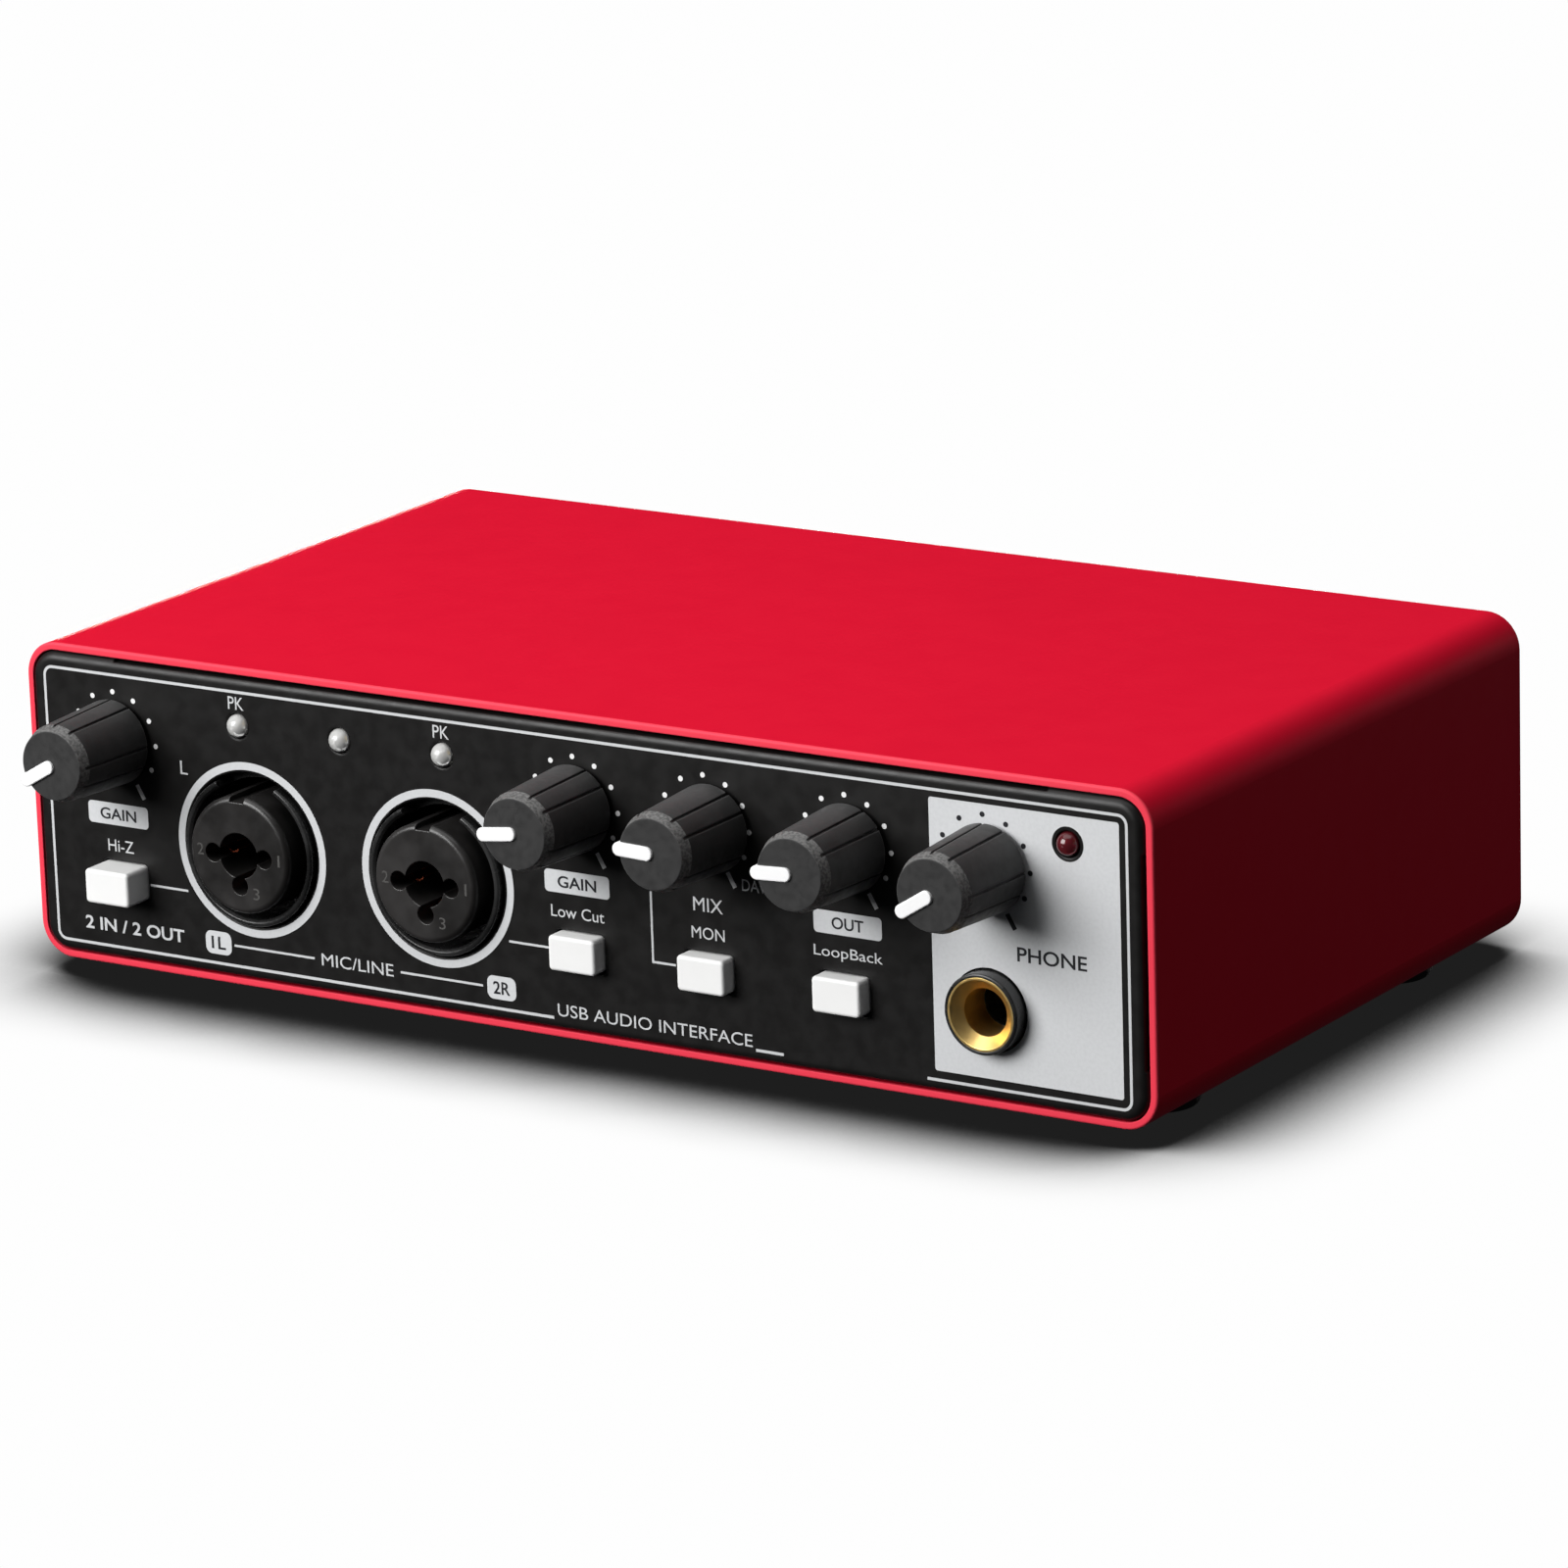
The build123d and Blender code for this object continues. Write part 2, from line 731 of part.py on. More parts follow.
# Headphone socket: black body and collar with a gilt sleeve in its mouth
phones_front_y = face_y - phones_collar_proud
with BuildPart() as phones_body_part:
    with BuildSketch(facing_front(phones_front_y)):
        with Locations((phones_x, phones_z)):
            Circle(phones_collar_r)
    extrude(amount=-(panel_back_y + combo_gap - phones_front_y))
    fillet(phones_body_part.faces().sort_by(Axis.Y)[0].edges(), radius=(phones_collar_r - sleeve_r) / 2)
    with BuildSketch(facing_front(panel_back_y + combo_gap)):
        with Locations((phones_x, phones_z)):
            RectangleRounded(phones_body_width, phones_body_height, body_corner_r)
    extrude(amount=-(front_board_y - seat_gap - panel_back_y - combo_gap))
    with BuildSketch(facing_front(phones_front_y)):
        with Locations((phones_x, phones_z)):
            Circle(sleeve_r + sleeve_gap)
    extrude(amount=-(sleeve_length + sleeve_gap), mode=Mode.SUBTRACT)
    with BuildSketch(facing_front(phones_front_y)):
        with Locations((phones_x, phones_z)):
            Circle(plug_bore_r)
    extrude(amount=-plug_depth, mode=Mode.SUBTRACT)
save(phones_body_part, "phones_socket_body")

with BuildPart() as phones_sleeve:
    with BuildSketch(along_axis(phones_x, phones_front_y, phones_z)):
        with BuildLine():
            Polyline(
                (plug_bore_r, sleeve_mouth_depth),
                (sleeve_mouth_r, 0),
                (sleeve_r, 0),
                (sleeve_r, sleeve_length),
                (plug_bore_r, sleeve_length),
                close=True,
            )
        make_face()
    revolve(axis=axis_back(phones_x, phones_z))
save(phones_sleeve, "phones_socket_sleeve")

# Front board, which carries the sockets, potentiometers, switches and lamps
front_board_width = case_width - 2 * front_board_side
front_board_places = (0, front_board_z + front_board_height / 2)
with BuildPart() as front_board:
    with BuildSketch(facing_front(front_board_y)):
        with Locations(front_board_places):
            Rectangle(front_board_width, front_board_height)
        with Locations(*post_places):
            Circle(small_screw_r + seat_gap, mode=Mode.SUBTRACT)
    extrude(amount=-board_thick)
save(front_board, "front_board")

with BuildPart() as board_screws:
    with BuildSketch(facing_front(board_back_y + seat_gap)):
        with Locations(*post_places):
            Circle(small_head_r)
    extrude(amount=-small_head_thick)
    with BuildSketch(facing_front(board_back_y + seat_gap)):
        with Locations(*post_places):
            Circle(small_screw_r)
    extrude(amount=small_screw_length)
save(board_screws, "board_screws")

# Main board in the rails of the sleeve
main_front_y = board_back_y + seat_gap
main_back_y = rear_back_y - board_back_gap
main_length = main_back_y - main_front_y
main_mid_y = (main_front_y + main_back_y) / 2
with BuildPart() as main_board:
    with BuildSketch(level(board_z)):
        with Locations((0, main_mid_y)):
            Rectangle(inner_width - 2 * board_side_gap, main_length)
    extrude(amount=board_thick)
save(main_board, "main_board")

header_y = board_back_y + seat_gap + header_depth / 2
with BuildPart() as board_header:
    with BuildSketch(level(board_top_z + part_seat)):
        with Locations((0, header_y)):
            Rectangle(header_width, header_depth)
    extrude(amount=header_height)
save(board_header, "board_header")

with BuildPart() as chip_set:
    with BuildSketch(level(board_top_z + part_seat)):
        for x, y, width, length in chips:
            with Locations((x, main_mid_y + y)):
                Rectangle(width, length)
    extrude(amount=chip_thick)
save(chip_set, "chips")

with BuildPart() as capacitor_set:
    with BuildSketch(level(board_top_z + part_seat)):
        with Locations(*[(x, main_mid_y + y) for x, y in capacitors]):
            Circle(capacitor_r)
    extrude(amount=capacitor_height)
    fillet(capacitor_set.edges().group_by(Axis.Z)[-1], radius=capacitor_edge_r)
save(capacitor_set, "capacitors")

# Rear plate and its screws
port_z = board_top_z + part_seat + port_height / 2
with BuildPart() as rear_panel:
    with BuildSketch(facing_front(rear_face_y)):
        with Locations((0, case_mid_z)):
            RectangleRounded(
                inner_width - 2 * rear_gap,
                inner_height - 2 * rear_gap,
                case_corner_r - case_wall - rear_gap,
            )
        with Locations(*channel_places):
            Circle(channel_bore_r, mode=Mode.SUBTRACT)
        for x in line_out_columns.values():
            with Locations((x, line_out_z)):
                Circle(line_neck_r + neck_gap, mode=Mode.SUBTRACT)
        for x in port_columns.values():
            with Locations((x, port_z)):
                SlotOverall(port_width + 2 * port_gap, port_height + 2 * port_gap, mode=Mode.SUBTRACT)
        with Locations((phantom_x, phantom_z)):
            Rectangle(
                phantom_size + 2 * phantom_gap,
                phantom_size + 2 * phantom_gap,
                mode=Mode.SUBTRACT,
            )
    extrude(amount=rear_thick)
save(rear_panel, "rear_panel")

with BuildPart() as rear_screws:
    with BuildSketch(facing_front(rear_face_y + seat_gap)):
        with Locations(*channel_places):
            Circle(screw_shank_r)
    extrude(amount=screw_length)
    with BuildSketch(facing_front(rear_face_y + seat_gap)):
        with Locations(*channel_places):
            Circle(screw_head_r)
    extrude(amount=-screw_head_thick)
    with BuildSketch(facing_front(rear_face_y + seat_gap + screw_head_thick)):
        with Locations(*channel_places):
            RegularPolygon(screw_slot_r, 6)
    extrude(amount=screw_slot_depth, mode=Mode.SUBTRACT)
save(rear_screws, "rear_screws")

# Line outputs with the nuts that clamp them to the rear plate
line_end_y = rear_face_y + line_neck_proud
for name, x in line_out_columns.items():
    with BuildPart() as line_out:
        with BuildSketch(facing_front(rear_back_y - seat_gap)):
            with Locations((x, line_out_z)):
                RectangleRounded(line_body, line_body, body_corner_r)
        extrude(amount=line_body_depth)
        with BuildSketch(facing_front(rear_back_y - seat_gap)):
            with Locations((x, line_out_z)):
                Circle(line_neck_r)
        extrude(amount=-(line_end_y - rear_back_y + seat_gap))
        with BuildSketch(facing_front(line_end_y)):
            with Locations((x, line_out_z)):
                Circle(plug_bore_r)
        extrude(amount=plug_depth, mode=Mode.SUBTRACT)
        mouth = line_out.faces().sort_by(Axis.Y)[-1].edges().sort_by(SortBy.RADIUS)[0]
        chamfer(mouth, length=line_mouth_depth)
    save(line_out, name)

with BuildPart() as nuts:
    with BuildSketch(facing_front(rear_face_y + seat_gap)):
        with Locations(*[(x, line_out_z) for x in line_out_columns.values()]):
            RegularPolygon(nut_across_flats / 2, 6, major_radius=False)
            Circle(line_neck_r + nut_gap, mode=Mode.SUBTRACT)
    extrude(amount=-nut_thick)
save(nuts, "line_out_nuts")


# Data and supply sockets on the main board
def port_outline(grow):
    """Stadium section of a socket's metal shell, drawn in the open sketch."""
    SlotOverall(port_width + 2 * grow, port_height + 2 * grow)


for name, x in port_columns.items():
    with BuildPart() as port:
        with BuildSketch(facing_front(rear_face_y)):
            with Locations((x, port_z)):
                port_outline(0)
        extrude(amount=port_depth)
        with BuildSketch(facing_front(rear_face_y)):
            with Locations((x, port_z)):
                port_outline(-port_wall)
        extrude(amount=port_depth - port_back_wall, mode=Mode.SUBTRACT)
        with BuildSketch(facing_front(rear_face_y - port_depth + port_back_wall)):
            with Locations((x, port_z)):
                Rectangle(port_tongue_width, port_tongue_thick)
        extrude(amount=-port_tongue_length)
    save(port, name)

# Phantom supply push-button at the back
phantom_end_y = rear_face_y + phantom_out
with BuildPart() as phantom_button:
    with BuildSketch(facing_front(phantom_end_y)):
        with Locations((phantom_x, phantom_z)):
            RectangleRounded(phantom_size, phantom_size, button_corner_r)
    extrude(amount=phantom_length)
    fillet(phantom_button.faces().sort_by(Axis.Y)[-1].edges(), radius=button_front_r)
    with BuildSketch(facing_front(phantom_end_y - phantom_length)):
        with Locations((phantom_x, phantom_z)):
            Rectangle(plunger_size, plunger_size)
    extrude(amount=phantom_travel + phantom_back_room + plunger_depth)
save(phantom_button, "phantom_button")

phantom_switch_y = phantom_end_y - phantom_length - phantom_travel - phantom_back_room
with BuildPart() as phantom_switch_part:
    with BuildSketch(facing_front(phantom_switch_y)):
        with Locations((phantom_x, phantom_z)):
            Rectangle(phantom_switch, phantom_switch)
    extrude(amount=phantom_switch_depth)
    with BuildSketch(facing_front(phantom_switch_y)):
        with Locations((phantom_x, phantom_z)):
            Rectangle(plunger_size + 2 * plunger_run_gap, plunger_size + 2 * plunger_run_gap)
    extrude(amount=plunger_depth + phantom_travel + plunger_end_gap, mode=Mode.SUBTRACT)
save(phantom_switch_part, "phantom_switch")
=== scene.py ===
"""Looks of a desktop audio interface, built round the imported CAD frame, in metres."""
import json
import math

import bmesh
import bpy
from mathutils import Matrix, Vector


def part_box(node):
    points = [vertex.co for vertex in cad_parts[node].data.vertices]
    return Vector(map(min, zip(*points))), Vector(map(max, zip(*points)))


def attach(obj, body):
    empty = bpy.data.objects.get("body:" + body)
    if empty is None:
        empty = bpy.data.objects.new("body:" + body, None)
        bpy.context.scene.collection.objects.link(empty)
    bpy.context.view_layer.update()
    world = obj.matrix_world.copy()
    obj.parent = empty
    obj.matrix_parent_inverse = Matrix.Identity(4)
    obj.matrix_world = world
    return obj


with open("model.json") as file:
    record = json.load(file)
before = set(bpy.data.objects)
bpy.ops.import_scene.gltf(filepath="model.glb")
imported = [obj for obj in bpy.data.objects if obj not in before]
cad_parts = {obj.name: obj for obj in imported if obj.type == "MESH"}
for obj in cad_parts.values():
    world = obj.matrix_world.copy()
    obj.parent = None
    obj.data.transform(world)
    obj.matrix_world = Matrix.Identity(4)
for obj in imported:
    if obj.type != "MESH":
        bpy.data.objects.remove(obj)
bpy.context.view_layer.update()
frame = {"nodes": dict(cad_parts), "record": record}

MM = 0.001
CASE = "case"

# Places read from the frame. Panel places are (x, height above the case's underside), in millimetres.
RIM_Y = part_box("shell")[0].y
BASE_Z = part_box("shell")[0].z
FRONT_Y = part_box("front_panel")[0].y
REAR_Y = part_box("rear_panel")[1].y
SOCKETS = ("input_1", "input_2")
LAMPS = ("input_1_peak_lamp", "phantom_lamp", "input_2_peak_lamp", "power_lamp")


def middle(node):
    """Middle of a CAD node's box as (x, height above the case's underside), in millimetres."""
    low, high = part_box(node)
    return (low.x + high.x) / 2 / MM, ((low.z + high.z) / 2 - BASE_Z) / MM


def half_width(node):
    """Half the width of a CAD node's box, in millimetres."""
    low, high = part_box(node)
    return (high.x - low.x) / 2 / MM


# ---------------------------------------------------------------- materials

# The colour sockets of a Mix node, which share their names with its number sockets.
MIX_FACTOR, MIX_A, MIX_B, MIX_RESULT = 0, 6, 7, 2
# A grain that isn't drawn out along any direction.
EVEN = (1, 1, 1)

# Edge wear: the rounding's samples, its speckle's size, how far the normal turns, and the speckle's ramp.
WEAR_SAMPLES = 6
WEAR_GRAIN = 0.9 * MM
WEAR_TURN = (0.01, 0.16)
WEAR_BREAKS = (0.3, 0.65, 0.55, 1.0)


class Finish:
    """A Principled material whose colour, roughness and relief vary over the object's own coordinates.

    A colour, roughness or factor may be a plain value or another node's output.
    """

    def __init__(self, name, colour, roughness, metallic=0.0, specular=0.5):
        self.material = bpy.data.materials.new(name)
        self.material.use_nodes = True
        self.nodes = self.material.node_tree.nodes
        self.links = self.material.node_tree.links
        self.shader = self.nodes["Principled BSDF"]
        self.shader.inputs["Metallic"].default_value = metallic
        self.shader.inputs["Specular IOR Level"].default_value = specular
        self.place = self.add("ShaderNodeTexCoord").outputs["Object"]
        self.colour = colour
        self.roughness = roughness
        self.normal = None

    def add(self, kind, **settings):
        node = self.nodes.new(kind)
        for key, value in settings.items():
            setattr(node, key, value)
        return node

    def join(self, source, target):
        """Links an output to a socket, or sets a plain number or colour on it."""
        if isinstance(source, tuple):
            target.default_value = (*source, 1)
        elif isinstance(source, (int, float)):
            target.default_value = source
        else:
            self.links.new(source, target)

    def math(self, operation, a, b, clamp=False):
        node = self.add("ShaderNodeMath", operation=operation, use_clamp=clamp)
        self.join(a, node.inputs[0])
        self.join(b, node.inputs[1])
        return node.outputs[0]

    def noise(self, size, detail=2.0, stretch=EVEN):
        """Noise between 0 and 1 whose grains are about size metres across."""
        scaled = self.add("ShaderNodeMapping")
        scaled.inputs["Scale"].default_value = stretch
        self.links.new(self.place, scaled.inputs["Vector"])
        node = self.add("ShaderNodeTexNoise")
        node.inputs["Scale"].default_value = 1 / size
        node.inputs["Detail"].default_value = detail
        self.links.new(scaled.outputs[0], node.inputs["Vector"])
        return node.outputs[0]

    def ramp(self, source, low, high, to_low=0.0, to_high=1.0):
        """A smooth step from to_low, where source is low, to to_high, where it is high."""
        node = self.add("ShaderNodeMapRange", interpolation_type="SMOOTHSTEP")
        self.join(source, node.inputs["Value"])
        node.inputs["From Min"].default_value = low
        node.inputs["From Max"].default_value = high
        node.inputs["To Min"].default_value = to_low
        node.inputs["To Max"].default_value = to_high
        return node.outputs[0]

    def paint(self, factor, colour):
        """A second colour where factor is 1."""
        node = self.add("ShaderNodeMix", data_type="RGBA")
        self.join(factor, node.inputs[MIX_FACTOR])
        self.join(self.colour, node.inputs[MIX_A])
        self.join(colour, node.inputs[MIX_B])
        self.colour = node.outputs[MIX_RESULT]

    def mottle(self, size, colour, amount):
        """Soft patches of a second colour."""
        patches = self.ramp(self.noise(size, 4.0), 0.35, 0.7)
        self.paint(self.math("MULTIPLY", patches, amount), colour)

    def vary_roughness(self, size, spread, stretch=EVEN):
        offset = self.ramp(self.noise(size, 3.0, stretch), 0.3, 0.7, -spread, spread)
        self.roughness = self.math("ADD", self.roughness, offset, clamp=True)

    def worn(self, radius, colour, amount, roughness):
        """Edges of another colour and roughness: the mask is where a rounded normal leaves the true one."""
        bevel = self.add("ShaderNodeBevel", samples=WEAR_SAMPLES)
        bevel.inputs["Radius"].default_value = radius
        flat = self.add("ShaderNodeNewGeometry")
        dot = self.add("ShaderNodeVectorMath", operation="DOT_PRODUCT")
        self.links.new(bevel.outputs[0], dot.inputs[0])
        self.links.new(flat.outputs["Normal"], dot.inputs[1])
        edge = self.math("SUBTRACT", 1.0, dot.outputs["Value"])
        broken = self.ramp(self.noise(WEAR_GRAIN, 3.0), *WEAR_BREAKS)
        mask = self.math("MULTIPLY", self.ramp(edge, *WEAR_TURN), broken)
        mask = self.math("MULTIPLY", mask, amount)
        self.paint(mask, colour)
        change = self.math("MULTIPLY", mask, roughness)
        self.roughness = self.math("ADD", self.roughness, change, clamp=True)
        self.normal = bevel.outputs[0]

    def relief(self, size, depth, strength, detail=2.0, stretch=EVEN):
        """Raised grain, depth metres high."""
        bump = self.add("ShaderNodeBump")
        bump.inputs["Strength"].default_value = strength
        bump.inputs["Distance"].default_value = depth
        self.links.new(self.noise(size, detail, stretch), bump.inputs["Height"])
        if self.normal is not None:
            self.links.new(self.normal, bump.inputs["Normal"])
        self.normal = bump.outputs[0]

    def part_of(self, source, axis):
        split = self.add("ShaderNodeSeparateXYZ")
        self.links.new(source, split.inputs[0])
        return split.outputs[axis]

    def height(self, axis):
        """One coordinate of the place, in metres."""
        return self.part_of(self.place, axis)

    def facing(self, axis):
        """One coordinate of the face's direction, which turns with the object."""
        return self.part_of(self.add("ShaderNodeTexCoord").outputs["Normal"], axis)

    def done(self, **shader):
        """Wires the result into the shader, with constant values for its other sockets."""
        self.links.new(self.colour, self.shader.inputs["Base Color"])
        self.links.new(self.roughness, self.shader.inputs["Roughness"])
        self.links.new(self.normal, self.shader.inputs["Normal"])
        for key, value in shader.items():
            self.shader.inputs[key.replace("_", " ")].default_value = value
        return self.material


def shaded(colour, amount):
    """The colour times amount, held at full brightness."""
    return tuple(min(1.0, amount * c) for c in colour)


def red_coat():
    """Satin red coat with a painted highlight: a brighter pink-red rim at the sleeve's front end."""
    rim_highlight_from, rim_highlight_to = RIM_Y + 0.25 * MM, RIM_Y + 0.6 * MM
    coat = Finish("red_coat", (0.71, 0.0040, 0.028), 0.48, specular=0.12)
    coat.mottle(30 * MM, (0.68, 0.0036, 0.026), 0.5)
    coat.vary_roughness(6 * MM, 0.03)
    coat.worn(0.25 * MM, (0.80, 0.02, 0.05), 0.4, -0.05)
    # Painted highlight: the sleeve's front end is painted a brighter pink-red, fully within 0.25 mm of the
    # rim and fading out by 0.6 mm.
    coat.paint(coat.ramp(coat.height("Y"), rim_highlight_from, rim_highlight_to, 1.0, 0.0), (0.84, 0.050, 0.085))
    coat.relief(0.35 * MM, 0.004 * MM, 0.5)
    return coat.done()


def moulded(name, colour, lighter, roughness, specular=0.3, edge=0.2 * MM):
    """Moulded plastic with fine spark-eroded grain and slightly polished edges."""
    plastic = Finish(name, colour, roughness, specular=specular)
    plastic.mottle(9 * MM, lighter, 0.45)
    plastic.vary_roughness(2.5 * MM, 0.05)
    plastic.worn(edge, lighter, 0.8, -0.08)
    plastic.relief(0.22 * MM, 0.006 * MM, 0.6, 3.0)
    return plastic.done()


def soft_touch():
    """Rubbery knob coat: dusty, with a painted sheen, a paler band on the bevel round each knob's face."""
    sheen_from, sheen_to = (-0.65, -0.45), (-0.22, -0.12)
    coat = Finish("soft_touch", (0.016, 0.0158, 0.0158), 0.55, specular=0.4)
    coat.mottle(2.2 * MM, (0.025, 0.0247, 0.0245), 0.7)
    # Painted sheen: faces turned partly to the front, round each knob's face, are painted a paler grey,
    # broken up by a fine speckle.
    painted_sheen = coat.ramp(coat.facing("Y"), *sheen_from)
    painted_sheen = coat.math("MULTIPLY", painted_sheen, coat.ramp(coat.facing("Y"), *sheen_to, 1.0, 0.0))
    speckle = coat.ramp(coat.noise(0.35 * MM, 3.0), 0.35, 0.65, 0.35, 1.0)
    coat.paint(coat.math("MULTIPLY", painted_sheen, speckle), (0.15, 0.148, 0.145))
    coat.vary_roughness(1.1 * MM, 0.08)
    coat.worn(0.3 * MM, (0.085, 0.085, 0.085), 0.8, 0.05)
    coat.relief(0.16 * MM, 0.010 * MM, 0.7, 3.0)
    return coat.done(Sheen_Weight=0.1, Sheen_Roughness=0.5)


def metal(name, colour, roughness, stretch=EVEN, grain=0.3 * MM, spread=0.08):
    """Plated or turned metal with fine tool marks along one direction."""
    plate = Finish(name, colour, roughness, metallic=1.0)
    plate.mottle(3 * MM, shaded(colour, 0.82), 0.5)
    plate.vary_roughness(0.8 * MM, spread, stretch)
    plate.worn(0.08 * MM, shaded(colour, 1.2), 0.7, -0.05)
    plate.relief(grain, 0.002 * MM, 0.5, 2.0, stretch)
    return plate.done()


def epoxy(name, colour, roughness):
    """Half-clear cast lamp lens with a few flow marks."""
    lens = Finish(name, colour, roughness)
    lens.mottle(0.8 * MM, shaded(colour, 0.9), 0.4)
    lens.vary_roughness(0.6 * MM, 0.03)
    lens.relief(0.9 * MM, 0.004 * MM, 0.4)
    return lens.done(Transmission_Weight=0.45, IOR=1.53)


def ink(name, colour):
    """Screen-printed ink: slightly uneven density and a fine mesh relief."""
    print_ink = Finish(name, colour, 0.5, specular=0.3)
    print_ink.mottle(0.5 * MM, shaded(colour, 0.9), 0.5)
    print_ink.vary_roughness(1.2 * MM, 0.06)
    print_ink.relief(0.12 * MM, 0.002 * MM, 0.4)
    return print_ink.done()


PANEL = (0.0070, 0.0066, 0.0064)
PANEL_EDGE = (0.011, 0.0104, 0.0102)
POINTER, POINTER_EDGE = (0.92, 0.92, 0.92), (0.96, 0.96, 0.96)
BUTTON, BUTTON_EDGE = (0.87, 0.87, 0.86), (0.93, 0.93, 0.92)
SOCKET, SOCKET_EDGE = (0.006, 0.006, 0.006), (0.060, 0.060, 0.060)
INSERT, INSERT_EDGE = (0.0105, 0.0098, 0.0094), (0.050, 0.047, 0.046)

WHITE_INK = ink("ink_white", (0.60, 0.61, 0.62))
BRIGHT_INK = ink("ink_bright", (0.80, 0.80, 0.80))
GREY_INK = ink("ink_grey", (0.63, 0.64, 0.65))
DARK_INK = ink("ink_dark", (0.012, 0.012, 0.015))
# The digits are moulded in the insert's black; their paler grey is a painted highlight for light on their
# raised edges.
DIGIT_PAINTED_HIGHLIGHT = ink("digits_painted_highlight", (0.075, 0.073, 0.070))
MATERIALS = {
    "case_red": red_coat(),
    "panel_black": moulded("panel_black", PANEL, PANEL_EDGE, 0.40, specular=0.28, edge=0.5 * MM),
    "plate_black": moulded("plate_black", (0.012, 0.012, 0.0125), (0.02, 0.02, 0.021), 0.5),
    "foot_rubber": moulded("foot_rubber", (0.010, 0.010, 0.010), (0.018, 0.018, 0.018), 0.75),
    "knob_rubber": soft_touch(),
    "pointer_white": moulded("pointer_white", POINTER, POINTER_EDGE, 0.4, specular=0.4),
    "shaft_steel": metal("shaft_steel", (0.56, 0.56, 0.57), 0.3, (1, 12, 1)),
    "button_white": moulded("button_white", BUTTON, BUTTON_EDGE, 0.42, specular=0.4),
    "plunger_grey": moulded("plunger_grey", (0.25, 0.25, 0.26), (0.3, 0.3, 0.31), 0.5),
    "lamp_clear": epoxy("lamp_clear", (0.78, 0.78, 0.76), 0.2),
    "lamp_red": epoxy("lamp_red", (0.13, 0.012, 0.018), 0.14),
    "lead_tin": metal("lead_tin", (0.62, 0.62, 0.63), 0.35),
    "socket_black": moulded("socket_black", SOCKET, SOCKET_EDGE, 0.26, specular=0.5),
    "insert_black": moulded("insert_black", INSERT, INSERT_EDGE, 0.34, specular=0.5),
    "contact_bronze": metal("contact_bronze", (0.45, 0.10, 0.05), 0.35, (1, 8, 1)),
    "gilt": metal("gilt", (1.0, 0.70, 0.26), 0.38, (1, 10, 1), 0.2 * MM, 0.04),
    "nut_steel": metal("nut_steel", (0.60, 0.60, 0.61), 0.2),
    "port_steel": metal("port_steel", (0.55, 0.55, 0.56), 0.28, (1, 8, 1)),
    "switch_black": moulded("switch_black", (0.02, 0.02, 0.021), (0.03, 0.03, 0.031), 0.5),
    "button_black": moulded("button_black", (0.018, 0.018, 0.019), (0.05, 0.05, 0.051), 0.45),
    "pot_metal": metal("pot_metal", (0.5, 0.5, 0.51), 0.35),
    "board_green": moulded("board_green", (0.008, 0.07, 0.03), (0.012, 0.10, 0.045), 0.3),
    "can_aluminium": metal("can_aluminium", (0.55, 0.56, 0.58), 0.3),
    "screw_black": metal("screw_black", (0.03, 0.03, 0.032), 0.35),
    "screw_steel": metal("screw_steel", (0.5, 0.5, 0.5), 0.3),
}
for row in frame["record"]["subparts"]:
    for slot in frame["nodes"][row["node"]].material_slots:
        slot.material = MATERIALS[row["material_slot"]]


# ---------------------------------------------------------------- small shapes

LIFT = 0.02
SUNK = 0.02
DOT_STEPS = 20
HOLE_STEPS = 64
RING_STEPS = 128
CORNER_STEPS = 8
LETTER_STEPS = 4
MITRE_LIMIT = 0.3
SMOOTH_ANGLE = math.radians(35)
WELD = 1e-7


def around(steps):
    return [2 * math.pi * i / steps for i in range(steps)]


def circle(x, z, radius, steps):
    """Points of a circle on the face, anticlockwise."""
    return [(x + radius * math.cos(a), z + radius * math.sin(a)) for a in around(steps)]


def corner(cx, cz, radius, start, turn):
    """Points of a round corner, from the start angle through turn, in degrees."""
    angles = [math.radians(start + turn * i / CORNER_STEPS) for i in range(CORNER_STEPS + 1)]
    return [(cx + radius * math.cos(a), cz + radius * math.sin(a)) for a in angles]


def rounded(x0, x1, z0, z1, radius):
    """Rectangle with round corners as (x, z) points, anticlockwise from the lower right."""
    return [
        *corner(x1 - radius, z0 + radius, radius, -90, 90),
        *corner(x1 - radius, z1 - radius, radius, 0, 90),
        *corner(x0 + radius, z1 - radius, radius, 90, 90),
        *corner(x0 + radius, z0 + radius, radius, 180, 90),
    ]


def mesh_piece(name, corners, faces, material):
    """A mesh object that rides on the case, with its normals turned outwards."""
    mesh = bpy.data.meshes.new(name)
    mesh.from_pydata([tuple(c) for c in corners], [], faces)
    shape = bmesh.new()
    shape.from_mesh(mesh)
    bmesh.ops.remove_doubles(shape, verts=shape.verts, dist=WELD)
    bmesh.ops.recalc_face_normals(shape, faces=shape.faces)
    shape.to_mesh(mesh)
    shape.free()
    mesh.materials.append(material)
    piece = bpy.data.objects.new(name, mesh)
    bpy.context.collection.objects.link(piece)
    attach(piece, CASE)
    return piece


def lathe(name, profile, centre, slot, steps):
    """Turns (radius, distance back) points, in millimetres, about a front-to-back axis through centre."""
    rows = len(profile)
    corners = [
        centre + Vector((radius * math.cos(a), back, radius * math.sin(a))) * MM
        for a in around(steps)
        for radius, back in profile
    ]
    faces = []
    for i in range(steps):
        here, after = i * rows, (i + 1) % steps * rows
        for k in range(rows - 1):
            faces.append([here + k, here + k + 1, after + k + 1, after + k])
    piece = mesh_piece(name, corners, faces, MATERIALS[slot])
    piece.data.shade_smooth()
    piece.data.set_sharp_from_angle(angle=SMOOTH_ANGLE)


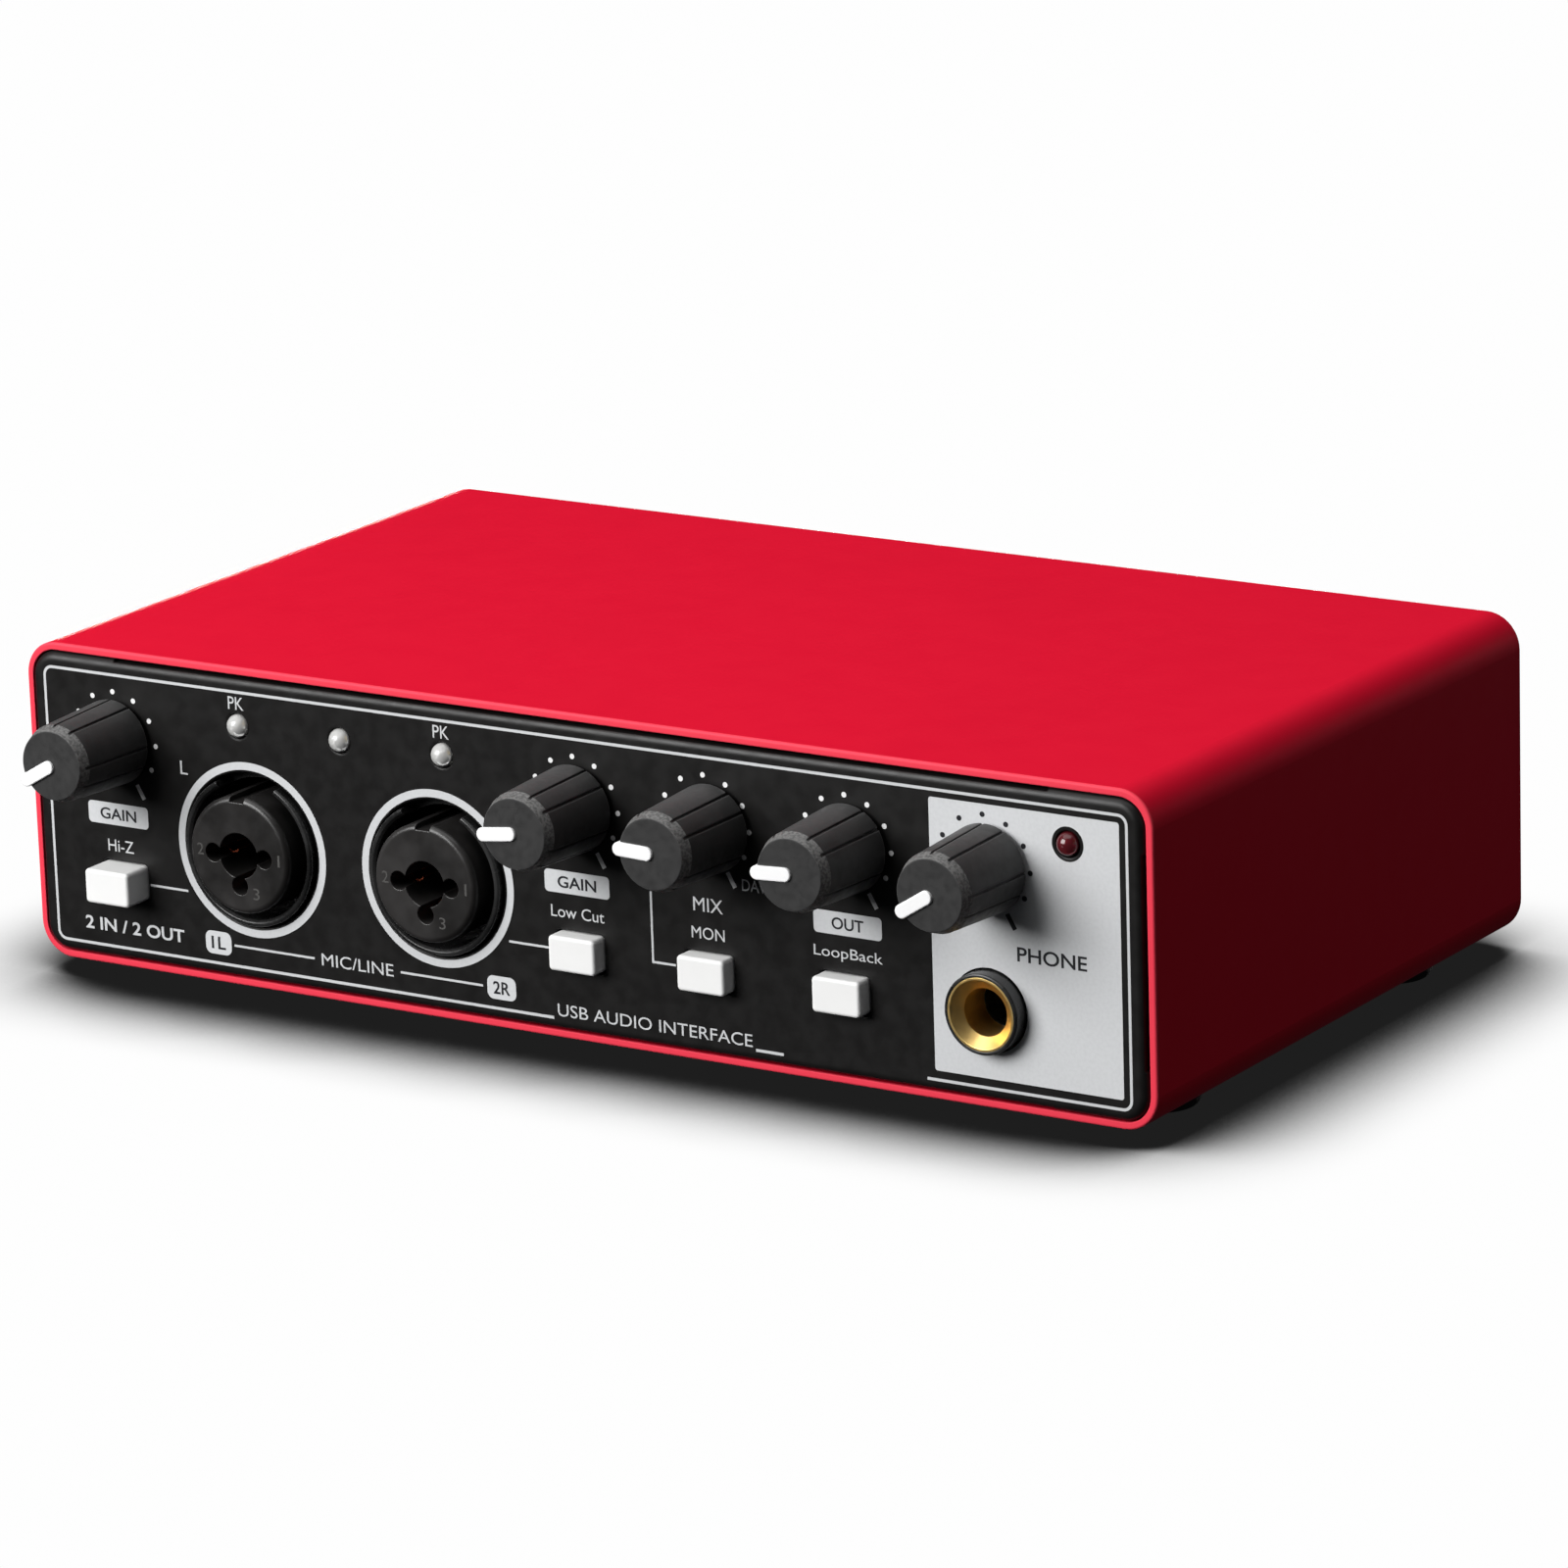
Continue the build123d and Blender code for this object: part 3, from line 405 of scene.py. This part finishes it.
class Print:
    """Thin printed shapes on a flat face, gathered into one mesh of closed shapes.

    Shapes are given in millimetres across the face; side is -1 for the front panel, +1 for the back.
    """

    def __init__(self, face_y, side=-1):
        self.face_y = face_y
        self.side = side
        self.corners = []
        self.faces = []

    def spot(self, x, z, lift):
        return (x * MM, self.face_y + self.side * lift * MM, BASE_Z + z * MM)

    def prism(self, outline):
        """A closed thin prism over a simple outline of (x, z) points."""
        n, first = len(outline), len(self.corners)
        for lift in (LIFT, -SUNK):
            self.corners += [self.spot(x, z, lift) for x, z in outline]
        self.faces.append([first + i for i in range(n)])
        self.faces.append([first + n + i for i in reversed(range(n))])
        for i in range(n):
            a, b = first + i, first + (i + 1) % n
            self.faces.append([b, a, a + n, b + n])

    def band(self, outer, inner, closed=True):
        """A flat band between two matching point lists; closed bands go all the way round."""
        count, first = len(outer), len(self.corners)
        for lift in (LIFT, -SUNK):
            self.corners += [self.spot(x, z, lift) for x, z in [*outer, *inner]]
        low = 2 * count
        for i in range(count if closed else count - 1):
            j = (i + 1) % count
            a, b, c, d = first + i, first + j, first + count + j, first + count + i
            self.faces += [[a, b, c, d], [low + d, low + c, low + b, low + a]]
            self.faces += [[b, a, low + a, low + b], [d, c, low + c, low + d]]
        if not closed:
            for i, turn in ((0, 1), (count - 1, -1)):
                end = [first + i, first + count + i, low + first + count + i, low + first + i]
                self.faces.append(end[::turn])

    def box(self, x0, x1, z0, z1, radius):
        self.prism(rounded(x0, x1, z0, z1, radius))

    def dot(self, x, z, radius):
        self.prism(circle(x, z, radius, DOT_STEPS))

    def ring(self, x, z, inner, outer):
        self.band(circle(x, z, outer, RING_STEPS), circle(x, z, inner, RING_STEPS))

    def line(self, points, width):
        """A line of constant width along (x, z) points."""
        left, right = [], []
        for i, (x, z) in enumerate(points):
            before = Vector(points[max(i - 1, 0)])
            after = Vector(points[min(i + 1, len(points) - 1)])
            here = Vector((x, z))
            first = (here - before).normalized() if i else (after - here).normalized()
            last = (after - here).normalized() if i < len(points) - 1 else first
            bisector = (first + last).normalized()
            across = Vector((-bisector.y, bisector.x))
            reach = width / 2 / max(MITRE_LIMIT, bisector.dot(first))
            left.append(tuple(here + across * reach))
            right.append(tuple(here - across * reach))
        self.band(left, right, closed=False)

    def words(self, text, x0, x1, z0, z1, bold=0.0):
        """Lettering stretched to fill a box, seen from the side that the face looks to."""
        curve = bpy.data.curves.new("words", "FONT")
        curve.body = text
        curve.size = 1.0
        curve.resolution_u = LETTER_STEPS
        curve.offset = bold
        self.stretch(curve, x0, x1, z0, z1)

    def sheet(self, outlines, x0, x1, z0, z1):
        """A printed field: the first outline is its edge and the others are holes in it."""
        curve = bpy.data.curves.new("sheet", "CURVE")
        curve.dimensions = "2D"
        curve.fill_mode = "BOTH"
        for outline in outlines:
            loop = curve.splines.new("POLY")
            loop.points.add(len(outline) - 1)
            for point, (x, z) in zip(loop.points, outline):
                point.co = (x, z, 0, 1)
            loop.use_cyclic_u = True
        self.stretch(curve, x0, x1, z0, z1)

    def stretch(self, curve, x0, x1, z0, z1):
        """Adds a flat curve's mesh, given thickness and stretched to fill a box on the face."""
        curve.extrude = 0.5
        maker = bpy.data.objects.new("maker", curve)
        bpy.context.collection.objects.link(maker)
        bpy.context.view_layer.update()
        shaped = maker.evaluated_get(bpy.context.evaluated_depsgraph_get())
        mesh = bpy.data.meshes.new_from_object(shaped)
        xs = [v.co.x for v in mesh.vertices]
        ys = [v.co.y for v in mesh.vertices]
        across = (x1 - x0) / (max(xs) - min(xs))
        tall = (z1 - z0) / (max(ys) - min(ys))
        first = len(self.corners)
        for v in mesh.vertices:
            along = (v.co.x - min(xs)) * across
            x = x1 - along if self.side > 0 else x0 + along
            lift = LIFT if v.co.z > 0 else -SUNK
            self.corners.append(self.spot(x, z0 + (v.co.y - min(ys)) * tall, lift))
        self.faces += [[first + i for i in face.vertices] for face in mesh.polygons]
        bpy.data.objects.remove(maker)
        bpy.data.meshes.remove(mesh)

    def build(self, name, material):
        mesh_piece(name, self.corners, self.faces, material)


# ---------------------------------------------------------------- front print

LINE, THIN_LINE = 0.4, 0.32
BORDER_X, BORDER_LOW, BORDER_HIGH, BORDER_R = 86.5, 2.92, 42.2, 1.3
BORDER_FROM, BORDER_TO = -2.96, 55.8
DASH_FROM, DASH_TO = 29.25, 33.6
THIN_LINES = ((-70.0, -63.5, 12.67), (-9.8, -2.6, 12.67), (-56.0, -42.4, 5.83), (-28.0, -14.4, 5.83))
BRACKET = [(13.4, 22.7), (13.4, 12.95), (17.0, 12.95)]

SCALE_ANGLES = range(-120, 121, 30)
SCALE_R, SCALE_DOT_R = 7.0, 0.375
END_ANGLES = (-150, 150)
END_FROM, END_TO, END_WIDE = 6.8, 9.1, 0.65
# How far each scale is printed to the right of its shaft.
SCALE_SHIFT = {
    "input_1_gain": -0.1,
    "input_2_gain": -0.2,
    "mix": -1.1,
    "output": -0.5,
    "phones_level": -0.7,
}

RING_INNER, RING_OUTER = 11.36, 12.46
FIELD, FIELD_R = (57.04, 85.4, 4.2, 41.2), 0.4
FIELD_GAP = 0.25
SHAFT_HOLE_R, PHONES_COLLAR_R = 3.4, 5.5

LABEL_Z, LABEL_R = (20.6, 23.75), 0.6
LABEL_TEXT_Z = (21.35, 23.0)
# Text, half its width, and the (left, right) ends of the grey boxes that it stands in.
LABELS = (("GAIN", 3.1, ((-80.1, -69.8), (-3.6, 6.8))), ("OUT", 2.45, ((38.9, 49.4),)))
TAG_Z, TAG_R, TAG_MARGIN = (4.2, 7.5), 1.0, 1.0
TAG_TEXT_Z = (4.95, 6.75)
TAGS = (("1L", -60.9, -56.5), ("2R", -13.7, -9.0))
BOXED_BOLD, PHONES_BOLD, CHANNELS_BOLD = 0.015, 0.012, 0.02
# Text, left, right, bottom and top.
PHONES_WORD = ("PHONE", 69.9, 80.3, 20.7, 22.7)
CHANNELS_WORDS = ("2 IN / 2 OUT", -81.7, -64.6, 5.0, 6.9)
WORDS = (
    ("Hi-Z", -77.0, -72.6, 16.8, 18.5),
    ("Low Cut", -2.75, 5.8, 17.2, 18.85),
    ("MON", 19.7, 24.9, 17.2, 18.85),
    ("LoopBack", 38.8, 49.4, 17.0, 18.9),
    ("MIX", 20.1, 24.75, 21.0, 22.9),
    ("DAW", 27.9, 32.6, 24.7, 26.3),
    ("PK", -55.0, -52.4, 39.7, 41.5),
    ("PK", -20.9, -18.3, 39.7, 41.5),
    ("L", -63.75, -62.5, 29.4, 31.3),
    ("MIC/LINE", -41.2, -29.2, 5.0, 6.75),
    ("USB AUDIO INTERFACE", -2.3, 28.75, 3.25, 5.0),
)


def border_print():
    """The frame line, open along part of its foot, and the short lines that join words to controls."""
    lines = Print(FRONT_Y)
    arc_x = BORDER_X - BORDER_R
    arc_low, arc_high = BORDER_LOW + BORDER_R, BORDER_HIGH - BORDER_R
    frame_line = [
        (BORDER_FROM, BORDER_LOW),
        *corner(-arc_x, arc_low, BORDER_R, 270, -90),
        *corner(-arc_x, arc_high, BORDER_R, 180, -90),
        *corner(arc_x, arc_high, BORDER_R, 90, -90),
        *corner(arc_x, arc_low, BORDER_R, 0, -90),
        (BORDER_TO, BORDER_LOW),
    ]
    lines.line(frame_line, LINE)
    lines.line([(DASH_FROM, BORDER_LOW), (DASH_TO, BORDER_LOW)], LINE)
    for x0, x1, z in THIN_LINES:
        lines.line([(x0, z), (x1, z)], THIN_LINE)
    lines.line(BRACKET, THIN_LINE)
    lines.build("border_print", WHITE_INK)


def socket_rings():
    rings = Print(FRONT_Y)
    for name in SOCKETS:
        rings.ring(*middle(f"{name}_socket_housing"), RING_INNER, RING_OUTER)
    rings.build("socket_ring_print", WHITE_INK)


def scale(target, knob):
    """Dots round a knob and a dash at each end of its turn."""
    x, z = middle(f"{knob}_shaft")
    x += SCALE_SHIFT[knob]
    for angle in SCALE_ANGLES:
        a = math.radians(angle)
        target.dot(x + SCALE_R * math.sin(a), z + SCALE_R * math.cos(a), SCALE_DOT_R)
    for angle in END_ANGLES:
        a = math.radians(angle)
        ends = [(x + r * math.sin(a), z + r * math.cos(a)) for r in (END_FROM, END_TO)]
        target.line(ends, END_WIDE)


def scales():
    """The white scales of the four knobs on black."""
    bright = Print(FRONT_Y)
    for knob in SCALE_SHIFT:
        if knob != "phones_level":
            scale(bright, knob)
    bright.build("scale_print", BRIGHT_INK)


def words():
    letters = Print(FRONT_Y)
    for placed in WORDS:
        letters.words(*placed)
    letters.words(*CHANNELS_WORDS, CHANNELS_BOLD)
    letters.build("letter_print", WHITE_INK)


def grey_fields():
    """The headphone field, with holes for what passes through it, and the boxes behind dark words."""
    grey = Print(FRONT_Y)
    passing = {
        "phones_level_shaft": SHAFT_HOLE_R,
        "power_lamp": half_width("power_lamp"),
        "phones_socket_body": PHONES_COLLAR_R,
    }
    holes = [circle(*middle(name), radius + FIELD_GAP, HOLE_STEPS) for name, radius in passing.items()]
    grey.sheet([rounded(*FIELD, FIELD_R), *holes], *FIELD)
    for _, _, spans in LABELS:
        for x0, x1 in spans:
            grey.box(x0, x1, *LABEL_Z, LABEL_R)
    for _, x0, x1 in TAGS:
        grey.box(x0, x1, *TAG_Z, TAG_R)
    grey.build("phones_field_print", GREY_INK)


def dark_marks():
    """The dark words and scale, which lie on the grey fields."""
    dark = Print(FRONT_Y - LIFT * MM)
    scale(dark, "phones_level")
    for text, half, spans in LABELS:
        for x0, x1 in spans:
            centre = (x0 + x1) / 2
            dark.words(text, centre - half, centre + half, *LABEL_TEXT_Z, BOXED_BOLD)
    for text, x0, x1 in TAGS:
        dark.words(text, x0 + TAG_MARGIN, x1 - TAG_MARGIN, *TAG_TEXT_Z, BOXED_BOLD)
    dark.words(*PHONES_WORD, PHONES_BOLD)
    dark.build("dark_print", DARK_INK)


border_print()
socket_rings()
scales()
words()
grey_fields()
dark_marks()

# ---------------------------------------------------------------- rear print

LEFT_JACK, RIGHT_JACK = middle("line_out_left"), middle("line_out_right")
BETWEEN_JACKS = ((LEFT_JACK[0] + RIGHT_JACK[0]) / 2, LEFT_JACK[1])
# What the words belong to, half their width, and their foot and head above its middle.
REAR_WORDS = (
    ("L", LEFT_JACK, 0.8, 9.6, 12.0),
    ("R", RIGHT_JACK, 0.8, 9.6, 12.0),
    ("LINE OUT", BETWEEN_JACKS, 7.5, -13.0, -11.0),
    ("48V", middle("phantom_button"), 2.8, 5.2, 7.2),
    ("USB", middle("data_socket"), 3.0, 4.6, 6.6),
    ("5V", middle("supply_socket"), 2.0, 4.6, 6.6),
)


def rear_print():
    rear = Print(REAR_Y, side=1)
    for text, (x, z), half, foot, head in REAR_WORDS:
        rear.words(text, x - half, x + half, z + foot, z + head)
    rear.build("rear_print", WHITE_INK)


rear_print()

# ---------------------------------------------------------------- lamps and sockets

# Half profiles as (radius, distance behind the lens tip).
CUP = ((0, 2.9), (0.95, 2.9), (0.95, 1.75), (0.8, 1.75), (0.42, 2.45), (0, 2.5))
DIE = ((0, 2.6), (0.16, 2.6), (0.16, 2.3), (0, 2.3))
CUP_STEPS, DIE_STEPS = 32, 16
# Each digit's middle, from the insert's middle, and its width.
DIGITS = (("1", 6.75, 0.1, 0.35), ("2", -6.45, 0.3, 1.05), ("3", 2.7, -5.1, 1.05))
DIGIT_TALL = 1.65


def lamp_inside(name):
    """The reflector cup and the light die inside a lamp's lens."""
    x, z = middle(name)
    tip = Vector((x * MM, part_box(name)[0].y, BASE_Z + z * MM))
    lathe(f"{name}_cup", CUP, tip, "lead_tin", CUP_STEPS)
    lathe(f"{name}_die", DIE, tip, "gilt", DIE_STEPS)


def contact_digits(name):
    """The raised digits beside an insert's three contact holes, in a paler grey that is a painted
    highlight.
    """
    x, z = middle(f"{name}_socket_insert")
    raised = Print(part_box(f"{name}_socket_insert")[0].y)
    for text, across, up, width in DIGITS:
        low_x, low_z = x + across - width / 2, z + up - DIGIT_TALL / 2
        raised.words(text, low_x, low_x + width, low_z, low_z + DIGIT_TALL)
    raised.build(f"{name}_digits", DIGIT_PAINTED_HIGHLIGHT)


for lamp_name in LAMPS:
    lamp_inside(lamp_name)
for socket_name in SOCKETS:
    contact_digits(socket_name)

# ---------------------------------------------------------------- stage, light and camera

FLOOR_FLAT = 1.8
FLOOR_SWEEP = 1.2
FLOOR_TOP = 3.0
FLOOR_SIDES = 96
FLOOR_STEPS = 24
FLOOR_WHITE = 0.99
SHADE_REACH = 28 * MM
SHADE_SAMPLES = 48
SHADE_FROM, SHADE_DARK = 0.5, 0.013

AIM = (0, 0, 0.02)
# The rear box is a strip that stays below the top's plane, so that it makes no glare on the top.
REAR_HEIGHT = 0.022
# Name, place, aim, width, height and power in watts.
LIGHTS = (
    ("top_box", (-0.15, -0.05, 1.1), AIM, 1.3, 1.3, 9.5),
    ("front_box", (-0.55, -0.95, 0.55), AIM, 0.9, 0.7, 21),
    ("rear_box", (-0.25, 0.75, REAR_HEIGHT), (0, 0, REAR_HEIGHT), 0.9, 0.034, 5.5),
    ("right_box", (1.1, -0.15, 0.25), AIM, 0.4, 0.4, 0.25),
)
AIR_COLOUR, AIR_STRENGTH = (0.9, 0.92, 1, 1), 0.02

# The camera's turn, rise and roll in degrees, its distance, and the point on the case that it looks at.
VIEW_TURN, VIEW_RISE, VIEW_ROLL = 32.988, 15.489, -1.831
VIEW_DISTANCE = 1008.795 * MM
VIEW_POINT = (34.59 * MM, RIM_Y, BASE_Z + 39.91 * MM)
LENS, SENSOR = 177.58, 36
CLIP = (0.05, 20)


def floor_mesh():
    """A round flat floor that sweeps up into a wall all round."""
    bends = [0.5 * math.pi * k / FLOOR_STEPS for k in range(FLOOR_STEPS + 1)]
    sweep = [(FLOOR_FLAT + FLOOR_SWEEP * math.sin(a), FLOOR_SWEEP * (1 - math.cos(a))) for a in bends]
    sweep.append((FLOOR_FLAT + FLOOR_SWEEP, FLOOR_TOP))
    points = [(r * math.cos(a), r * math.sin(a), z) for r, z in sweep for a in around(FLOOR_SIDES)]
    faces = [tuple(range(FLOOR_SIDES))]
    for ring in range(len(sweep) - 1):
        low, high = ring * FLOOR_SIDES, (ring + 1) * FLOOR_SIDES
        for k in range(FLOOR_SIDES):
            following = (k + 1) % FLOOR_SIDES
            faces.append((low + k, high + k, high + following, low + following))
    mesh = bpy.data.meshes.new("floor")
    mesh.from_pydata(points, [], faces)
    mesh.shade_smooth()
    return mesh


def floor_white():
    """A glowing white with a painted contact shadow: it darkens where something stands close over it."""
    material = bpy.data.materials.new("floor_white")
    material.use_nodes = True
    nodes, links = material.node_tree.nodes, material.node_tree.links
    nodes.remove(nodes["Principled BSDF"])
    shade = nodes.new("ShaderNodeAmbientOcclusion")
    shade.samples = SHADE_SAMPLES
    shade.inputs["Distance"].default_value = SHADE_REACH
    ramp = nodes.new("ShaderNodeMapRange")
    ramp.interpolation_type = "SMOOTHSTEP"
    ramp.inputs["From Min"].default_value = SHADE_FROM
    ramp.inputs["From Max"].default_value = 1.0
    ramp.inputs["To Min"].default_value = SHADE_DARK
    ramp.inputs["To Max"].default_value = FLOOR_WHITE
    glow = nodes.new("ShaderNodeEmission")
    links.new(shade.outputs["AO"], ramp.inputs["Value"])
    links.new(ramp.outputs[0], glow.inputs["Strength"])
    links.new(glow.outputs[0], nodes["Material Output"].inputs["Surface"])
    return material


def floor():
    """The floor, which is seen by the camera but neither lights nor shades the object."""
    plane = bpy.data.objects.new("floor", floor_mesh())
    bpy.context.collection.objects.link(plane)
    plane.data.materials.append(floor_white())
    plane.visible_diffuse = False
    plane.visible_glossy = False
    plane.visible_shadow = False


def softbox(name, location, target, width, height, power):
    light = bpy.data.lights.new(name, "AREA")
    light.shape = "RECTANGLE"
    light.size, light.size_y = width, height
    light.energy = power
    light.spread = math.pi
    lamp = bpy.data.objects.new(name, light)
    lamp.location = location
    lamp.rotation_mode = "QUATERNION"
    lamp.rotation_quaternion = (Vector(target) - Vector(location)).to_track_quat("-Z", "Y")
    bpy.context.collection.objects.link(lamp)


def air():
    """The faint light from all round."""
    world = bpy.data.worlds.new("studio")
    world.use_nodes = True
    sky = world.node_tree.nodes["Background"]
    sky.inputs["Color"].default_value = AIR_COLOUR
    sky.inputs["Strength"].default_value = AIR_STRENGTH
    bpy.context.scene.world = world
    bpy.context.scene.view_settings.view_transform = "Standard"


def camera():
    """Camera at the photograph's angle."""
    turn, rise, roll = (math.radians(d) for d in (VIEW_TURN, VIEW_RISE, VIEW_ROLL))
    back = Vector((math.sin(turn) * math.cos(rise), -math.cos(turn) * math.cos(rise), math.sin(rise)))
    across = Vector((math.cos(turn), math.sin(turn), 0))
    up = back.cross(across)
    tilted = across * math.cos(roll) + up * math.sin(roll)
    upright = up * math.cos(roll) - across * math.sin(roll)
    view = bpy.data.objects.new("camera", bpy.data.cameras.new("camera"))
    view.data.lens = LENS
    view.data.sensor_width = SENSOR
    view.data.clip_start, view.data.clip_end = CLIP
    axes = Matrix((tilted, upright, back)).transposed()
    place = Vector(VIEW_POINT) + back * VIEW_DISTANCE
    view.matrix_world = Matrix.Translation(place) @ axes.to_4x4()
    bpy.context.collection.objects.link(view)
    bpy.context.scene.camera = view


floor()
camera()
for light_row in LIGHTS:
    softbox(*light_row)
air()
